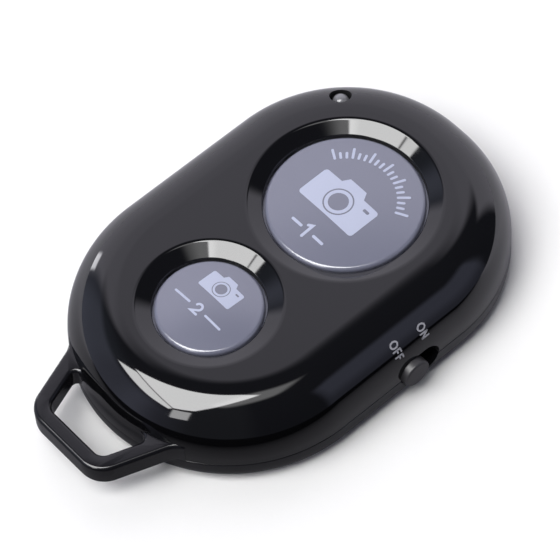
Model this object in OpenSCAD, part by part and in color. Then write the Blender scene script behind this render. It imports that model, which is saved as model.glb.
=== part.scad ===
// Pocket shutter remote with two press buttons, a slide switch, a coin cell and a lanyard loop.
// X runs from the lanyard loop to the status light, the slide switch faces -Y and Z is up.
// The origin lies on the resting face, under the middle of the case.

/* [Case] */
// Length of the case, without the lanyard loop
case_l = 52; // [51:0.5:58]
// Height of the case
case_h = 10.5; // [10.4:0.1:11.5]
// Half of the width, and radius of the half turn at the loop end
tail_r = 17.85; // [17.7:0.05:18.6]
// Width of the flat strip at the tip of the light end, between its two round corners
nose_strip_w = 1.3; // [1:0.1:3.2]
// Height of the joint line between the two shells
parting_z = 3.3; // [2.9:0.1:3.6]
// Radius of the shoulder round the top
shoulder_r = 6.2; // [5.6:0.1:6.6]
// Radius of the lower edge
foot_r = 2.2; // [1.8:0.1:2.6]
// Thickness of the side walls
wall = 1.4; // [1.2:0.1:1.6]
// Thickness of the top
roof_t = 1.6; // [1.4:0.1:1.7]
// Thickness of the bottom
floor_t = 1.1; // [1.1:0.1:1.4]
// Thickness of the lip that locates the shells
lip_t = 0.8; // [0.6:0.1:1]
// Height of that lip over the joint line
lip_h = 1; // [0.6:0.1:1.2]

/* [Lanyard loop] */
// How far the loop reaches past the case
loop_reach = 6.2; // [6:0.1:9]
// Half of the straight length of its outer end
loop_half_w = 3.3; // [2.9:0.1:3.8]
// Width of the loop's bar
loop_bar_w = 1.9; // [1.6:0.1:2]
// Height of the loop's bar
loop_bar_h = 2.8; // [2.4:0.1:3]
// Height of the loop's upper face
loop_top = 5.9; // [5.6:0.1:6.2]
// Radius of the outer corners
loop_corner_r = 3.2; // [2.6:0.1:3.4]
// Angle between an arm and the long axis
loop_arm_angle = 20; // [15:1:24]
// Radius where the arms flare into the case
loop_flare_r = 3; // [2:0.1:4]
// Radius of the small fillets inside the loop, at the case
loop_inner_r = 0.7; // [0.5:0.1:1]

/* [Buttons] */
// Place of the large button along the case
large_button_x = 8.4; // [8:0.1:9]
// Radius of the large button
large_cap_r = 8.75; // [8.2:0.05:9]
// Outer radius of the dish round the large button
large_dish_r = 10.7; // [10.5:0.1:11]
// Place of the small button along the case
small_button_x = -11.1; // [-11.6:0.1:-10.8]
// Radius of the small button
small_cap_r = 5.95; // [5.6:0.05:6.1]
// Outer radius of the dish round the small button
small_dish_r = 8.05; // [7.9:0.05:8.3]
// Depth of the dishes
dish_depth = 0.9; // [0.6:0.05:1]
// Gap round a button
cap_gap = 0.25; // [0.2:0.05:0.35]
// How far the buttons lie under the top of the case
cap_drop = 0.55; // [0.4:0.05:0.7]
// Height of a button's crown
cap_crown = 0.15; // [0.1:0.05:0.2]
// Radius of a button's rim
cap_edge_r = 0.5; // [0.3:0.05:0.6]
// Width of the flange that keeps a button in the case
cap_flange_w = 0.7; // [0.5:0.05:0.9]
// Thickness of that flange
cap_flange_t = 0.65; // [0.5:0.05:0.8]
// Travel of the buttons
press_travel = 0.35; // [0.2:0.05:0.4]

/* [Slide switch] */
// Middle of the switch slot along the case
switch_x = 2.7; // [2:0.1:3.4]
// Travel of the switch
switch_travel = 2; // [1.6:0.1:2.2]
// Radius of the switch knob
knob_r = 1.7; // [1.5:0.05:1.8]
// Height of the knob's axis
knob_z = 3.75; // [3.7:0.05:3.85]
// How far the knob stands out of the case
knob_proud = 0.8; // [0.5:0.1:1.2]

/* [Coin cell and door] */
// Radius of the coin cell
cell_r = 10; // [9.6:0.1:10.2]
// Height of the coin cell
cell_h = 3.2; // [2.6:0.1:3.2]
// Place of the coin cell along the case
cell_x = 5; // [4:0.5:6]
// Thickness of the door
door_t = 1.05; // [0.9:0.05:1.05]
// Half of the width of the door
door_half_w = 11.5; // [11.3:0.1:12]
// Width of the tongues that carry the door
tongue_w = 0.8; // [0.6:0.1:1]
// Thickness of those tongues
tongue_t = 0.45; // [0.35:0.05:0.5]

/* [Circuit board] */
// Height of the board's lower face
board_z = 5; // [4.95:0.05:5.1]
// Thickness of the board
board_t = 0.8; // [0.6:0.1:0.9]
// Gap between the board and the side wall
board_gap = 0.7; // [0.6:0.1:1]

/* [Status light] */
// Direction of the light, seen from the centre of its corner
light_angle = 49.5; // [46:0.5:54]
// Distance of the light from the edge of the case
light_inset = 3.8; // [3.4:0.1:4]
// Radius of the lens
light_r = 1; // [0.8:0.05:1.1]
// Gap round the lens
light_gap = 0.25; // [0.1:0.05:0.3]
// Depth of the lens under the surface of the case
light_drop = 0.35; // [0.2:0.05:0.5]

/* [Hidden] */
$fn = 96;

// Clearances, the overrun of cuts, and how far one form reaches into the next
slide_gap = 0.1;
touch_gap = 0.05;
cut = 0.5;
lip_bite = 0.35;
skin_gap = 0.02;

// Plan of the case: a half turn at the loop end, straight sides, and two corners at the light end
tail_cx = tail_r - case_l / 2;
nose_cy = nose_strip_w / 2;
nose_corner_r = tail_r - nose_cy;
nose_cx = case_l / 2 - nose_corner_r;

// Heights
roof_z = case_h - roof_t;
board_top = board_z + board_t;
board_tail_r = tail_r - wall - board_gap;
board_nose_r = nose_corner_r - wall - board_gap + 2 * slide_gap;
board_half_w = board_nose_r - slide_gap;
cell_z = door_t + 2 * slide_gap;
cap_top = case_h - cap_drop;

// Screws, which the door hides, and the bosses that take them
screw_inset = 6.7;
screw_x = case_l / 2 - screw_inset;
screw_y = 6.5;
screw_head_r = 1.35;
screw_head_h = 1.05;
screw_shank_r = 0.7;
screw_drive_w = 0.45;
screw_drive_l = 1.9;
screw_drive_depth = 0.4;
screw_boss_r = 2.2;
pillar_r = 1.8;
pillar_bite = 0.3;
screw_end_gap = 0.4;

// Posts that locate the board at the loop end
post_inset = 3;
post_angle = 45;
post_r = 1.6;
post_x = tail_cx - (board_tail_r - post_inset) * cos(post_angle);
post_y = (board_tail_r - post_inset) * sin(post_angle);
pin_r = 0.6;
pin_h = 0.5;

// Tactile switches
tact_w = 5.2;
tact_base_h = 1.2;
tact_cover_t = 0.25;
tact_plunger_r = 1.05;
tact_plunger_rise = 0.6;
tact_flange_r = 1.5;
tact_flange_t = 0.4;
tact_leg_w = 0.6;
tact_leg_l = 0.8;
tact_leg_t = 0.2;
tact_leg_y = 1.9;
tact_top = board_top + tact_base_h + tact_cover_t + tact_plunger_rise;

// Buttons
stem_r = 1.6;
cap_plate_t = 1.25;
cap_ring_w = 0.85;
cap_rib_w = 0.8;
cap_ribs = 6;
key_w = 1.2;
key_l = 1.5;
key_h = 1.3;
crown_fn = 720;

// Slide switch
knob_rest_x = switch_x - switch_travel / 2;
shutter_gap = 0.35;
shutter_y = tail_r - wall - shutter_gap;
shutter_t = 0.6;
shutter_over = 0.2;
shutter_rise = 0.35;
shutter_half_l = knob_r + switch_travel + shutter_over;
shutter_half_h = knob_r + shutter_rise;
slot_r = knob_r + slide_gap;
stub_half = 0.65;
stub_socket = 0.45;
slider_half_l = 1.5;
slide_case_half_l = 4;
slide_case_w = 3;
slide_case_wall = 0.2;
slide_case_gap = 0.5;
slide_base_t = 0.5;
slide_case_y = shutter_y - shutter_t - slide_case_gap;
slide_case_z = 2.95;
terminal_w = 0.6;
terminal_l = 0.8;
terminal_t = 0.2;
terminal_pitch = 2.5;

// Coin cell, its bay and its contacts
cell_gap = 0.2;
bay_r = cell_r + cell_gap;
bay_wall = 1;
bay_drop = 0.3;
bay_top = board_z - bay_drop;
can_t = 0.25;
can_h = 2.9;
can_edge_r = 0.2;
seal_t = 0.6;
seal_rise = 0.05;
cap_face_inset = 0.4;
clip_t = 0.25;
clip_half_w = 2.5;
clip_foot = 2.6;
clip_gap = 0.1;
clip_window_half = clip_half_w + cell_gap;
contact_t = 0.15;
contact_half_w = 1.5;
contact_l = 6;
contact_tip = 0.8;

// Door and the housing that it slides in
door_x0 = cell_x - bay_r - bay_wall;
door_housing_t = 0.8;
door_housing_w = 1;
door_lip_t = 0.5;
door_gap_z = door_t + slide_gap;
housing_top = door_gap_z + door_housing_t;
grip_ridges = 5;
grip_pitch = 1.3;
grip_w = 0.6;
grip_l = 9;
grip_depth = 0.3;
grip_inset = 8;
grip_x = case_l / 2 - foot_r - grip_inset;
door_nose_angle = 60;
door_flat_x = nose_cx + sqrt(pow(nose_corner_r - foot_r, 2) - pow(door_half_w - nose_cy, 2)) - touch_gap;

// Parts on the board
radio_w = 5;
radio_h = 0.9;
radio_x = -1.5;
radio_inset = 2.9;
radio_y = board_half_w - radio_inset;
memory_l = 4.9;
memory_w = 3.9;
memory_h = 1.4;
memory_leg = 0.9;
memory_x = -4;
memory_inset = 3;
memory_y = memory_inset - board_half_w;
chip_pin_w = 0.4;
chip_pin_t = 0.2;
chip_pin_pitch = 1.27;
chip_pins = 4;
chip_mark_r = 0.35;
chip_mark_depth = 0.1;
crystal_l = 3.2;
crystal_w = 2.5;
crystal_h = 0.8;
crystal_lid = 0.25;
small_part_l = 1.6;
small_part_w = 0.8;
small_part_h = 0.5;
small_part_end = 0.3;
antenna_inset = 3.6;
antenna_x = antenna_inset - case_l / 2;
antenna_l = 3;
antenna_pitch = 1.4;
antenna_turns = 5;
antenna_w = 0.5;
antenna_t = 0.08;

// Status light
light_x = nose_cx + (nose_corner_r - light_inset) * cos(light_angle);
light_y = nose_cy + (nose_corner_r - light_inset) * sin(light_angle);
light_surface_z = case_h - shoulder_r + sqrt(pow(shoulder_r, 2) - pow(shoulder_r - light_inset, 2));
light_top = light_surface_z - light_drop;
light_flange_w = 0.25;
light_flange_r = light_r + light_flange_w;
light_flange_t = 0.4;
lead_r = 0.22;
lead_pitch = 1.2;
lead_tail = 0.5;
lead_gap = 0.08;

// Small parts, beside the chips and the light
radio_sides = [for (side = [-1, 1]) radio_x + side * (radio_w / 2 + small_part_l)];
memory_side = memory_x - memory_l / 2 - 2 * small_part_l;
capacitor_places = concat(
    [for (x = radio_sides, side = [-1, 1]) [x, radio_y + side * small_part_w]],
    [[small_button_x - tact_w / 2, radio_y - 2 * small_part_w]]
);
resistor_places = concat(
    [for (side = [-1, 1]) [memory_side, memory_y + side * small_part_w]],
    [[small_button_x - small_part_l, memory_y + small_part_w]],
    [for (side = [-1, 1]) [light_x - 2 * small_part_l, side * light_y]]
);

// Lanyard loop, half of it: the outer lines of the end and of an arm cross at loop_cross
loop_tip_x = -case_l / 2 - loop_reach;
loop_z = loop_top - loop_bar_h;
arc_steps = 16;
loop_turn = 90 - loop_arm_angle;
loop_tangent = loop_corner_r * tan(loop_turn / 2);
loop_corner_c = [loop_tip_x + loop_corner_r, loop_half_w];
loop_cross = [loop_tip_x, loop_half_w + loop_tangent];
arm_dir = [cos(loop_arm_angle), sin(loop_arm_angle)];
arm_out = [-sin(loop_arm_angle), cos(loop_arm_angle)];
function meet(start, reach) =
    let (w = start - [tail_cx, 0], along = w * arm_dir)
    -along - sqrt(pow(along, 2) - w * w + pow(reach, 2));
flare_start = loop_cross + arm_out * loop_flare_r;
flare_s = meet(flare_start, tail_r + loop_flare_r - slide_gap);
flare_c = flare_start + arm_dir * flare_s;
flare_end = atan2(-flare_c[1], tail_cx - flare_c[0]);
inner_start = loop_cross - arm_out * (loop_bar_w + loop_inner_r);
inner_s = meet(inner_start, tail_r + loop_inner_r - slide_gap);
inner_c = inner_start + arm_dir * inner_s;
inner_end = atan2(-inner_c[1], tail_cx - inner_c[0]);
function arc(centre, r, from, to) = [
    for (i = [0:arc_steps]) let (a = from + (to - from) * i / arc_steps) centre + r * [cos(a), sin(a)]
];
function in_wall(a) = [tail_cx, 0] - (tail_r - wall / 2) * [cos(a), sin(a)];
loop_half = concat(
    arc(loop_corner_c, loop_corner_r, 180, 90 + loop_arm_angle),
    arc(flare_c, loop_flare_r, loop_arm_angle - 90, flare_end),
    [in_wall(flare_end), in_wall(inner_end)],
    arc(inner_c, loop_inner_r, inner_end, 90 + loop_arm_angle),
    arc(loop_corner_c, loop_corner_r - loop_bar_w, 90 + loop_arm_angle, 180)
);
tail_half_angle = 0 - flare_end;
tail_gap_angle = 2 * asin(slide_gap / tail_r);

shell_gloss = [0.07, 0.07, 0.08];
shell_satin = [0.12, 0.12, 0.13];
cap_blue = [0.53, 0.55, 0.62];
knob_grey = [0.2, 0.2, 0.21];
board_green = [0.05, 0.3, 0.16];
chip_black = [0.09, 0.09, 0.09];
nickel = [0.75, 0.75, 0.73];
gold = [0.85, 0.68, 0.32];

// Quarter of a disc in the first quadrant
module quarter(r) {
    intersection() {
        circle(r);
        square(r);
    }
}

// Gives the section below it the radius of the arc that it is carried round
module at_reach(r) {
    $reach = r;
    children();
}

// Carries a section round the plan. The section is drawn from the arc's centre outwards.
module sweep_plan() {
    translate([tail_cx, 0, 0]) {
        rotate([0, 0, 90])
            rotate_extrude(angle = 180)
                at_reach(tail_r) children();
        rotate([90, 0, 90])
            linear_extrude(nose_cx - tail_cx)
                for (side = [0, 1]) mirror([side, 0]) at_reach(tail_r) children();
    }
    translate([nose_cx, 0, 0])
        rotate([90, 0, 0])
            linear_extrude(2 * nose_cy, center = true)
                at_reach(nose_corner_r) children();
    for (side = [0, 1]) mirror([0, side, 0])
        translate([nose_cx, nose_cy, 0])
            rotate_extrude(angle = 90)
                at_reach(nose_corner_r) children();
}

// Section of a block whose lower and upper edges may be rounded
module block_section(inset, z0, z1, low_r, high_r) {
    reach = $reach - inset;
    translate([0, z0 + low_r]) square([reach, z1 - z0 - low_r - high_r]);
    if (low_r > 0) {
        translate([0, z0]) square([reach - low_r, low_r]);
        translate([reach - low_r, z0 + low_r]) mirror([0, 1]) quarter(low_r);
    }
    if (high_r > 0) {
        translate([0, z1 - high_r]) square([reach - high_r, high_r]);
        translate([reach - high_r, z1 - high_r]) quarter(high_r);
    }
}

// Solid with the case's plan, drawn in by inset
module plan_solid(inset, z0, z1, low_r = 0, high_r = 0) {
    sweep_plan() block_section(inset, z0, z1, low_r, high_r);
}

module box(from, to) {
    translate(from) cube(to - from);
}

module rod(x, y, z0, z1, r) {
    translate([x, y, z0]) cylinder(r = r, h = z1 - z0);
}

// Opening of the slide switch, through both shells
module switch_slot() {
    for (end = [-1, 1])
        translate([switch_x + end * switch_travel / 2, cut - tail_r + wall, knob_z])
            rotate([90, 0, 0]) cylinder(r = slot_r, h = wall + 2 * cut);
    box([switch_x - switch_travel / 2, -tail_r - cut, knob_z - slot_r],
        [switch_x + switch_travel / 2, cut - tail_r + wall, knob_z + slot_r]);
}

// Carries a section round the loop end, to both sides of the long axis
module tail_turn(half_angle) {
    translate([tail_cx, 0, 0])
        rotate([0, 0, 180 - half_angle])
            rotate_extrude(angle = 2 * half_angle) children();
}

module button_opening(x, cap_r, dish_r) {
    hole_r = cap_r + cap_gap;
    slope = (dish_r - hole_r) / dish_depth;
    translate([x, 0, case_h - dish_depth])
        cylinder(r1 = hole_r, r2 = dish_r + slope * cut, h = dish_depth + cut);
    rod(x, 0, roof_z - cut, case_h, hole_r);
}

module key_rib(x, cap_r) {
    edge_y = cap_r + cap_flange_w;
    box([x - key_w / 2, edge_y - key_l / 2 + slide_gap, roof_z - key_h],
        [x + key_w / 2, edge_y + key_l, roof_z + pillar_bite]);
}

module top_shell() color(shell_gloss) {
    difference() {
        plan_solid(0, parting_z, case_h, 0, shoulder_r);
        plan_solid(wall, parting_z - cut, roof_z, 0, shoulder_r - wall);
        button_opening(large_button_x, large_cap_r, large_dish_r);
        button_opening(small_button_x, small_cap_r, small_dish_r);
        rod(light_x, light_y, board_top, case_h + cut, light_r + light_gap);
        switch_slot();
        tail_turn(tail_half_angle + tail_gap_angle)
            translate([tail_r - wall - cut, parting_z - cut])
                square([wall + 2 * cut, loop_top + slide_gap - parting_z + cut]);
    }
    key_rib(large_button_x, large_cap_r);
    key_rib(small_button_x, small_cap_r);
    for (side = [-1, 1]) {
        difference() {
            rod(screw_x, side * screw_y, board_top, roof_z + pillar_bite, pillar_r);
            rod(screw_x, side * screw_y, board_top - cut, roof_z - screw_end_gap, screw_shank_r + touch_gap);
        }
        difference() {
            rod(post_x, side * post_y, board_top, roof_z + pillar_bite, post_r);
            rod(post_x, side * post_y, board_top - cut, board_top + pin_h + slide_gap, pin_r + slide_gap);
        }
    }
}

module lanyard_loop() {
    translate([0, 0, loop_z])
        linear_extrude(loop_bar_h)
            polygon(concat(loop_half, [
                for (i = [1:len(loop_half)]) [loop_half[len(loop_half) - i][0], -loop_half[len(loop_half) - i][1]]
            ]));
}

// Wall of the case behind the loop, which fills the notch in the top shell
module tail_wall() {
    foot_z = parting_z - lip_h;
    tail_turn(tail_half_angle) intersection() {
        at_reach(tail_r) block_section(skin_gap, foot_z, case_h, 0, shoulder_r);
        translate([tail_r - wall + skin_gap, foot_z]) square([wall, loop_top + skin_gap - foot_z]);
    }
}

module lip_section() {
    translate([$reach - wall - slide_gap - lip_t, parting_z - lip_h])
        square([lip_t, 2 * lip_h]);
    translate([$reach - wall - slide_gap, parting_z - lip_h])
        square([slide_gap + wall / 2, lip_h - slide_gap]);
}

module bottom_shell() color(shell_satin) {
    difference() {
        union() {
            difference() {
                plan_solid(0, 0, parting_z, foot_r, 0);
                plan_solid(wall, floor_t, parting_z + cut);
                switch_slot();
            }
            intersection() {
                plan_solid(wall - lip_bite, floor_t / 2, housing_top);
                box([door_x0 - tongue_w - door_housing_w, -door_half_w - tongue_w - door_housing_w, 0],
                    [case_l / 2, door_half_w + tongue_w + door_housing_w, housing_top]);
            }
            for (side = [-1, 1]) {
                rod(screw_x, side * screw_y, floor_t / 2, board_z, screw_boss_r);
                rod(post_x, side * post_y, floor_t / 2, board_z, post_r);
                rod(post_x, side * post_y, floor_t / 2, board_top + pin_h, pin_r);
            }
            rod(cell_x, 0, floor_t / 2, bay_top, bay_r + bay_wall);
        }
        box([door_x0 - slide_gap, -door_half_w - slide_gap, -cut],
            [case_l / 2 + cut, door_half_w + slide_gap, door_gap_z]);
        box([door_x0 - tongue_w - slide_gap, -door_half_w - tongue_w - slide_gap, door_lip_t],
            [case_l / 2 + cut, door_half_w + tongue_w + slide_gap, door_gap_z]);
        rod(cell_x, 0, 0, case_h, bay_r);
        box([cell_x - bay_r - bay_wall - cut, -clip_window_half, housing_top],
            [cell_x, clip_window_half, board_z]);
        for (side = [-1, 1]) {
            rod(screw_x, side * screw_y, 0, door_gap_z + slide_gap + screw_head_h, screw_head_r + slide_gap);
            rod(screw_x, side * screw_y, 0, case_h, screw_shank_r + slide_gap);
        }
    }
    difference() {
        sweep_plan() lip_section();
        box([switch_x - shutter_half_l - switch_travel / 2 - cut, -tail_r + wall, knob_z - shutter_half_h - slide_gap],
            [switch_x + shutter_half_l + switch_travel / 2 + cut, -tail_r / 2, case_h]);
        switch_slot();
    }
    tail_wall();
    lanyard_loop();
}

// Section of the door at the light end, where it carries on the case's lower edge
module door_section() {
    at_reach(nose_corner_r) intersection() {
        block_section(0, 0, parting_z, foot_r, 0);
        square([nose_corner_r, door_t]);
    }
}

module battery_door() color(shell_satin) {
    difference() {
        union() {
            for (side = [0, 1]) mirror([0, side, 0]) difference() {
                translate([nose_cx, nose_cy, 0]) rotate_extrude(angle = door_nose_angle) door_section();
                box([0, door_half_w, -cut], [case_l, case_l, case_h]);
            }
            translate([nose_cx, 0, 0])
                rotate([90, 0, 0])
                    linear_extrude(2 * nose_cy, center = true) door_section();
            box([door_x0, -door_half_w, 0], [door_flat_x, door_half_w, door_t]);
            box([door_x0 - tongue_w, -door_half_w - tongue_w, door_lip_t + touch_gap],
                [cell_x + cell_r, door_half_w + tongue_w, door_lip_t + touch_gap + tongue_t]);
        }
        for (i = [0:grip_ridges - 1])
            box([grip_x + i * grip_pitch, -grip_l / 2, -cut],
                [grip_x + i * grip_pitch + grip_w, grip_l / 2, grip_depth]);
    }
}

module case_screws() color(nickel) {
    head_z = door_gap_z + slide_gap;
    for (side = [-1, 1]) translate([screw_x, side * screw_y, 0]) {
        difference() {
            rod(0, 0, head_z, head_z + screw_head_h, screw_head_r);
            for (turn = [0, 90]) rotate([0, 0, turn])
                box([-screw_drive_l / 2, -screw_drive_w / 2, head_z - cut],
                    [screw_drive_l / 2, screw_drive_w / 2, head_z + screw_drive_depth]);
        }
        rod(0, 0, head_z + screw_head_h, roof_z - 2 * screw_end_gap, screw_shank_r);
    }
}

// Button cap: crowned disc with a rounded rim, a keeping flange, ribs and a stem
module button_cap(x, r) {
    edge_z = cap_top - cap_crown;
    chord = r - cap_edge_r;
    crown_r = (pow(chord, 2) + pow(cap_crown, 2)) / (2 * cap_crown);
    plate_z = cap_top - cap_plate_t;
    flange_top = roof_z - touch_gap;
    flange_z = flange_top - cap_flange_t;
    ring_r = r - cap_ring_w;
    translate([x, 0, 0]) difference() {
        union() {
            rotate_extrude() {
                translate([0, plate_z]) square([r, edge_z - cap_edge_r - plate_z]);
                translate([0, plate_z]) square([chord, edge_z - plate_z]);
                translate([chord, edge_z - cap_edge_r]) quarter(cap_edge_r);
                intersection() {
                    translate([0, cap_top - crown_r]) circle(crown_r, $fn = crown_fn);
                    translate([0, plate_z]) square([chord, cap_plate_t]);
                }
                translate([ring_r, flange_z]) square([r + cap_flange_w - ring_r, cap_flange_t]);
                translate([ring_r, flange_z]) square([r - ring_r, plate_z - flange_z + touch_gap]);
            }
            for (i = [0:cap_ribs - 1]) rotate([0, 0, i * 360 / cap_ribs])
                box([0, -cap_rib_w / 2, flange_z], [ring_r + touch_gap, cap_rib_w / 2, plate_z + touch_gap]);
            rod(0, 0, tact_top, plate_z + touch_gap, stem_r);
        }
        box([-key_w / 2 - slide_gap, r + cap_flange_w - key_l / 2, flange_z - cut],
            [key_w / 2 + slide_gap, r + 2 * cap_flange_w, flange_top + cut / 2]);
    }
}

module large_button_cap() color(cap_blue) button_cap(large_button_x, large_cap_r);
module small_button_cap() color(cap_blue) button_cap(small_button_x, small_cap_r);

module tact_base(x) {
    difference() {
        box([x - tact_w / 2, -tact_w / 2, board_top], [x + tact_w / 2, tact_w / 2, board_top + tact_base_h]);
        rod(x, 0, board_top + tact_base_h - touch_gap - tact_flange_t - press_travel - slide_gap,
            board_top + tact_base_h + cut, tact_flange_r + slide_gap);
    }
}

module tact_cover(x) {
    z = board_top + tact_base_h;
    difference() {
        box([x - tact_w / 2, -tact_w / 2, z], [x + tact_w / 2, tact_w / 2, z + tact_cover_t]);
        rod(x, 0, z - cut, z + cut, tact_plunger_r + slide_gap);
    }
}

module tact_plunger(x) {
    flange_top = board_top + tact_base_h - touch_gap;
    rod(x, 0, flange_top - tact_flange_t, flange_top, tact_flange_r);
    rod(x, 0, flange_top - tact_flange_t, tact_top, tact_plunger_r);
}

module tact_legs(x) {
    for (end = [-1, 1], side = [-1, 1])
        translate([x + end * (tact_w + tact_leg_l) / 2, side * tact_leg_y, board_top + tact_leg_t / 2])
            cube([tact_leg_l, tact_leg_w, tact_leg_t], center = true);
}

module large_switch_base() color(chip_black) tact_base(large_button_x);
module large_switch_cover() color(nickel) tact_cover(large_button_x);
module large_switch_plunger() color(knob_grey) tact_plunger(large_button_x);
module large_switch_legs() color(nickel) tact_legs(large_button_x);
module small_switch_base() color(chip_black) tact_base(small_button_x);
module small_switch_cover() color(nickel) tact_cover(small_button_x);
module small_switch_plunger() color(knob_grey) tact_plunger(small_button_x);
module small_switch_legs() color(nickel) tact_legs(small_button_x);

// Knob with the inner shutter that closes the slot, and a socket for the switch's stub
module power_switch_knob() color(knob_grey) {
    translate([knob_rest_x, 0, knob_z]) difference() {
        union() {
            translate([0, -shutter_y + cut / 2, 0])
                rotate([90, 0, 0]) cylinder(r = knob_r, h = tail_r + knob_proud - shutter_y + cut / 2);
            box([-shutter_half_l, -shutter_y, -shutter_half_h],
                [shutter_half_l, -shutter_y + shutter_t, shutter_half_h]);
        }
        box([-stub_half - touch_gap, -shutter_y - stub_socket, -stub_half - touch_gap],
            [stub_half + touch_gap, -shutter_y + shutter_t + cut, stub_half + touch_gap]);
    }
}

module power_switch_actuator() color(chip_black) {
    inner_y = slide_case_y - slide_case_w + slide_case_wall + slide_gap;
    outer_y = slide_case_y - slide_case_wall - slide_gap;
    low_z = slide_case_z + slide_case_wall + slide_gap;
    high_z = board_z - slide_base_t - slide_gap;
    box([knob_rest_x - slider_half_l, -outer_y, low_z], [knob_rest_x + slider_half_l, -inner_y, high_z]);
    box([knob_rest_x - stub_half, -shutter_y - stub_socket + slide_gap, max(low_z, knob_z - stub_half)],
        [knob_rest_x + stub_half, -outer_y, min(high_z, knob_z + stub_half)]);
}

module power_switch_case() color(nickel) {
    window = stub_half + switch_travel / 2 + slide_gap;
    difference() {
        box([switch_x - slide_case_half_l, -slide_case_y, slide_case_z],
            [switch_x + slide_case_half_l, slide_case_w - slide_case_y, board_z - slide_base_t]);
        box([switch_x - slide_case_half_l + slide_case_wall, slide_case_wall - slide_case_y,
             slide_case_z + slide_case_wall],
            [switch_x + slide_case_half_l - slide_case_wall, slide_case_w - slide_case_wall - slide_case_y,
             board_z]);
        box([switch_x - window, -slide_case_y - cut, slide_case_z + slide_case_wall],
            [switch_x + window, -slide_case_y + cut, board_z]);
    }
}

module power_switch_base() color(chip_black) {
    box([switch_x - slide_case_half_l, -slide_case_y, board_z - slide_base_t],
        [switch_x + slide_case_half_l, slide_case_w - slide_case_y, board_z]);
}

module power_switch_terminals() color(nickel) {
    for (i = [-1:1])
        translate([switch_x + i * terminal_pitch, slide_case_w - slide_case_y + terminal_l / 2,
                   board_z - terminal_t / 2])
            cube([terminal_w, terminal_l, terminal_t], center = true);
}

module circuit_board() color(board_green) {
    difference() {
        translate([0, 0, board_z]) linear_extrude(board_t) {
            translate([tail_cx, 0]) circle(board_tail_r);
            translate([nose_cx, 0]) circle(board_nose_r);
            translate([tail_cx, -board_half_w]) square([nose_cx - tail_cx, 2 * board_half_w]);
        }
        for (side = [-1, 1]) {
            rod(screw_x, side * screw_y, 0, case_h, screw_shank_r + slide_gap);
            rod(post_x, side * post_y, 0, case_h, pin_r + slide_gap);
            rod(light_x + side * lead_pitch / 2, light_y, 0, case_h, lead_r + lead_gap);
        }
    }
}

module bluetooth_chip() color(chip_black) {
    difference() {
        box([radio_x - radio_w / 2, radio_y - radio_w / 2, board_top],
            [radio_x + radio_w / 2, radio_y + radio_w / 2, board_top + radio_h]);
        rod(radio_x - radio_w / 2 + 2 * chip_mark_r, radio_y - radio_w / 2 + 2 * chip_mark_r,
            board_top + radio_h - chip_mark_depth, case_h, chip_mark_r);
    }
}

module memory_chip() color(chip_black) {
    difference() {
        box([memory_x - memory_l / 2, memory_y - memory_w / 2, board_top + touch_gap],
            [memory_x + memory_l / 2, memory_y + memory_w / 2, board_top + memory_h]);
        rod(memory_x - memory_l / 2 + 2 * chip_mark_r, memory_y - memory_w / 2 + 2 * chip_mark_r,
            board_top + memory_h - chip_mark_depth, case_h, chip_mark_r);
    }
    for (side = [-1, 1], i = [0:chip_pins - 1])
        translate([memory_x + (i - (chip_pins - 1) / 2) * chip_pin_pitch,
                   memory_y + side * (memory_w + memory_leg - chip_pin_t) / 2, board_top + chip_pin_t])
            cube([chip_pin_w, memory_leg, 2 * chip_pin_t], center = true);
}

module crystal() color(nickel) {
    x = (large_button_x - large_cap_r + small_button_x + small_cap_r) / 2;
    box([x - crystal_w / 2, -crystal_l / 2, board_top],
        [x + crystal_w / 2, crystal_l / 2, board_top + crystal_h - crystal_lid]);
    box([x - crystal_w / 2 + crystal_lid, crystal_lid - crystal_l / 2, board_top + crystal_h - crystal_lid],
        [x + crystal_w / 2 - crystal_lid, crystal_l / 2 - crystal_lid, board_top + crystal_h]);
}

// Small part with its two soldered ends a little higher than its body
module small_part(place) {
    translate([place[0], place[1], board_top]) {
        box([-small_part_l / 2, -small_part_w / 2, 0],
            [small_part_l / 2, small_part_w / 2, small_part_h - chip_pin_t / 2]);
        for (end = [-1, 1])
            translate([end * (small_part_l - small_part_end) / 2, 0, small_part_h / 2])
                cube([small_part_end, small_part_w, small_part_h], center = true);
    }
}

module chip_capacitors() color([0.72, 0.58, 0.42]) for (place = capacitor_places) small_part(place);
module chip_resistors() color(chip_black) for (place = resistor_places) small_part(place);

// Meander of copper at the loop end of the board
module antenna_trace() color(gold) {
    translate([antenna_x, 0, board_top]) linear_extrude(antenna_t) {
        for (i = [-antenna_turns:antenna_turns])
            translate([0, i * antenna_pitch - antenna_w / 2]) square([antenna_l, antenna_w]);
        for (i = [-antenna_turns:antenna_turns - 1])
            translate([i % 2 == 0 ? 0 : antenna_l - antenna_w, i * antenna_pitch - antenna_w / 2])
                square([antenna_w, antenna_pitch + antenna_w]);
    }
}

module light_lens() color([0.85, 0.87, 0.9]) {
    rod(light_x, light_y, board_top, light_top - light_r, light_r);
    translate([light_x, light_y, light_top - light_r]) sphere(light_r);
    rod(light_x, light_y, board_top, board_top + light_flange_t, light_flange_r);
}

module light_leads() color(nickel) {
    for (side = [-1, 1])
        rod(light_x + side * lead_pitch / 2, light_y, board_z - lead_tail, board_top, lead_r);
}

module coin_cell_can() color(nickel) translate([cell_x, 0, cell_z]) {
    rotate_extrude() difference() {
        union() {
            square([cell_r - can_edge_r, can_h]);
            translate([0, can_edge_r]) square([cell_r, can_h - 2 * can_edge_r]);
            for (z = [can_edge_r, can_h - can_edge_r]) translate([cell_r - can_edge_r, z]) circle(can_edge_r);
        }
        translate([0, can_t]) square([cell_r - can_t, can_h]);
    }
}

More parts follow.
